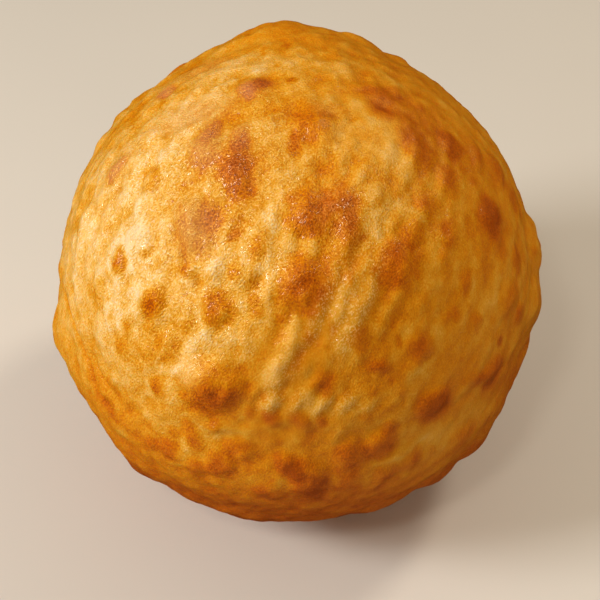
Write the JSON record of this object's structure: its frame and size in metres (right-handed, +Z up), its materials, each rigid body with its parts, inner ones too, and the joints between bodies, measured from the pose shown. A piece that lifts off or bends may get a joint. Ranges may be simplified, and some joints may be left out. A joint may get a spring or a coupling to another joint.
{
  "type": "bhatura",
  "caption": "Fried bread puffed into a round ball, with a seam around it, swellings and browned blisters on its crust, and a small flat spot to rest on.",
  "frame": {"origin": "on the flat spot that the ball rests on, below the middle of the ball", "axes": "+Z up; the shown side, with the shoulder on its left, faces -Y and upwards"},
  "size_m": [0.1388, 0.1393, 0.1348],
  "materials": {
    "crust": "golden fried crust with darker browned blisters and a thin film of oil"
  },
  "bodies": {
    "root": {"bhatura": "crust"}
  },
  "joints": []
}
